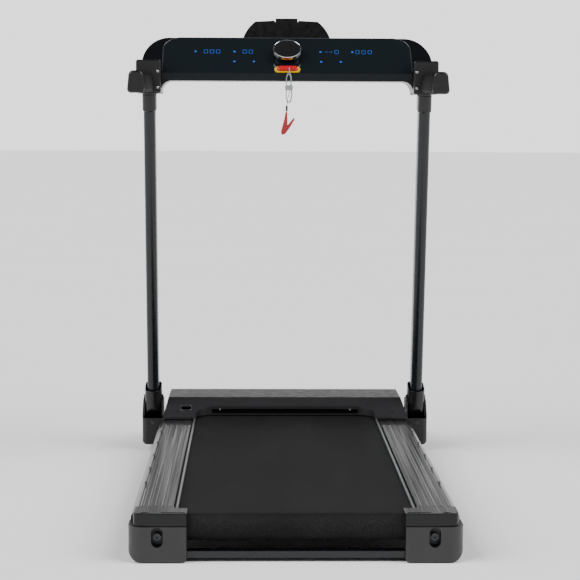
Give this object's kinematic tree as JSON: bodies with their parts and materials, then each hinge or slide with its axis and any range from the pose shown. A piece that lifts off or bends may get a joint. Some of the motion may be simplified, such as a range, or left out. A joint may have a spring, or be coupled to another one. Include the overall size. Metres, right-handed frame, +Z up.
{
  "type": "folding treadmill",
  "caption": "Slim folding treadmill: flat belt deck with ribbed foot rails, low motor hood, leaning oval uprights and a tilted touch console with dial, grips and tablet rest.",
  "frame": {"origin": "on the floor under the centre of the deck", "axes": "+X to the user's right, +Y towards the motor end, away from the user, +Z up"},
  "size_m": [0.7612, 1.42, 1.0979],
  "materials": {
    "steel_black": "satin black powder coat",
    "zinc_steel": "zinc plated",
    "chrome_ring": "polished",
    "matte_black": "fine moulded grain",
    "dark_grey": "fine moulded grain",
    "gloss_black": "glossy",
    "panel_black": "smoked gloss",
    "rail_black": "satin ribbed",
    "strip_silver": "satin",
    "belt_black": "fine woven texture",
    "rubber_black": "matt",
    "grip_rubber": "matt foam rubber",
    "board_wood": "waxed fibreboard",
    "roller_steel": "turned",
    "motor_metal": "satin",
    "alloy": "cast",
    "board_green": "circuit board",
    "key_red": "glossy",
    "dock_yellow": "glossy",
    "cord_white": "braided",
    "clip_red": "dipped vinyl",
    "wheel_black": "matt"
  },
  "bodies": {
    "deck": {"side_beams": "steel_black", "crossbars": "steel_black", "deck_board": "board_wood", "deck_cushions": "rubber_black", "running_belt": "belt_black", "roller_axles": "zinc_steel", "tension_blocks": "zinc_steel", "foot_rail_left": "rail_black", "foot_rail_right": "rail_black", "rail_strips": "strip_silver", "end_cap_left": "dark_grey", "end_cap_right": "dark_grey", "cap_tops": "gloss_black", "rubber_feet": "rubber_black", "motor_hood": "matte_black", "hood_screws": "zinc_steel", "belly_pan": "matte_black", "motor_case": "motor_metal", "motor_bracket": "steel_black", "motor_controller": "alloy", "drive_belt": "rubber_black", "power_inlet": "matte_black", "wheel_brackets": "steel_black", "hinge_brackets": "steel_black", "hinge_pins": "zinc_steel", "hinge_covers": "matte_black"},
    "upright_frame": {"upright_tube_left": "steel_black", "upright_tube_right": "steel_black", "upright_sleeves": "matte_black", "upright_collars": "matte_black", "console_pod_left": "matte_black", "console_pod_right": "matte_black", "hand_grip_left": "grip_rubber", "hand_grip_right": "grip_rubber", "grip_caps": "matte_black", "console_shell": "dark_grey", "console_panel": "panel_black", "display_board": "board_green", "knob_encoder": "matte_black", "key_dock": "dock_yellow"},
    "knob_stem": {"knob_shaft": "zinc_steel"},
    "speed_knob": {"knob_base": "gloss_black", "knob_ring": "chrome_ring", "knob_face": "matte_black"},
    "safety_key": {"safety_key": "key_red", "safety_tether": "cord_white", "tether_ferrule": "rubber_black", "clip_fixed_jaw": "clip_red"},
    "clip_lever": {"clip_moving_jaw": "clip_red"},
    "tablet_rest": {"tablet_holder": "matte_black"},
    "rear_roller": {"rear_roller": "roller_steel"},
    "front_roller": {"front_roller": "roller_steel"},
    "motor_rotor": {"motor_rotor": "roller_steel"},
    "power_switch": {"power_switch": "matte_black"},
    "wheel_left": {"transport_wheel_left": "wheel_black"},
    "wheel_right": {"transport_wheel_right": "wheel_black"},
    "bolt_left": {"belt_bolt_left": "zinc_steel"},
    "bolt_right": {"belt_bolt_right": "zinc_steel"},
    "lock_left": {"lock_button_left": "zinc_steel"},
    "lock_right": {"lock_button_right": "zinc_steel"}
  },
  "joints": [
    {"name": "upright_fold", "type": "hinge", "parent": "deck", "child": "upright_frame", "pos_m": [0, 0.5145, 0.124], "axis": [1, 0, 0], "range_deg": [0, 74]},
    {"name": "knob_press", "type": "slide", "parent": "upright_frame", "child": "knob_stem", "axis": [0, -0.6508, 0.7593], "range_m": [-0.0008, 0], "stiffness_N_per_m": 2500, "springref_m": 0.0015},
    {"name": "knob_turn", "type": "hinge", "parent": "knob_stem", "child": "speed_knob", "pos_m": [0, 0.40163, 1.00125], "axis": [0, -0.6508, 0.7593], "continuous": true},
    {"name": "key_pull", "type": "slide", "parent": "upright_frame", "child": "safety_key", "axis": [0, -0.6508, 0.7593], "range_m": [0, 0.012]},
    {"name": "clip_squeeze", "type": "hinge", "parent": "safety_key", "child": "clip_lever", "pos_m": [-0.0036, 0.339, 0.826], "axis": [0, -1, 0], "range_deg": [0, 10], "stiffness_Nm_per_rad": 0.05, "springref_deg": -17.19},
    {"name": "tablet_rest_tilt", "type": "hinge", "parent": "upright_frame", "child": "tablet_rest", "pos_m": [0, 0.477, 1.036], "axis": [1, 0, 0], "range_deg": [-70, 0]},
    {"name": "front_roller_spin", "type": "hinge", "parent": "deck", "child": "front_roller", "pos_m": [0, 0.515, 0.064], "axis": [1, 0, 0], "continuous": true},
    {"name": "rear_roller_spin", "type": "hinge", "parent": "deck", "child": "rear_roller", "pos_m": [0, -0.672, 0.064], "axis": [1, 0, 0], "continuous": true},
    {"name": "motor_spin", "type": "hinge", "parent": "deck", "child": "motor_rotor", "pos_m": [0, 0.605, 0.078], "axis": [1, 0, 0], "continuous": true},
    {"name": "switch_rock", "type": "hinge", "parent": "deck", "child": "power_switch", "pos_m": [-0.17, 0.704, 0.054], "axis": [1, 0, 0], "range_deg": [-16, 0]},
    {"name": "wheel_left_spin", "type": "hinge", "parent": "deck", "child": "wheel_left", "pos_m": [-0.271, 0.672, 0.026], "axis": [1, 0, 0], "continuous": true},
    {"name": "wheel_right_spin", "type": "hinge", "parent": "deck", "child": "wheel_right", "pos_m": [0.271, 0.672, 0.026], "axis": [1, 0, 0], "continuous": true},
    {"name": "bolt_left_turn", "type": "hinge", "parent": "deck", "child": "bolt_left", "pos_m": [-0.264, -0.672, 0.05], "axis": [0, 1, 0], "continuous": true},
    {"name": "bolt_right_turn", "type": "hinge", "parent": "deck", "child": "bolt_right", "pos_m": [0.264, -0.672, 0.05], "axis": [0, 1, 0], "continuous": true},
    {"name": "lock_left_press", "type": "slide", "parent": "deck", "child": "lock_left", "axis": [0, 1, 0], "range_m": [0, 0.004], "stiffness_N_per_m": 900, "springref_m": -0.003},
    {"name": "lock_right_press", "type": "slide", "parent": "deck", "child": "lock_right", "axis": [0, 1, 0], "range_m": [0, 0.004], "stiffness_N_per_m": 900, "springref_m": -0.003}
  ],
  "couplings": [
    {"joint": "rear_roller_spin", "follows": "front_roller_spin", "ratio": 1},
    {"joint": "motor_spin", "follows": "front_roller_spin", "ratio": 2.375}
  ]
}
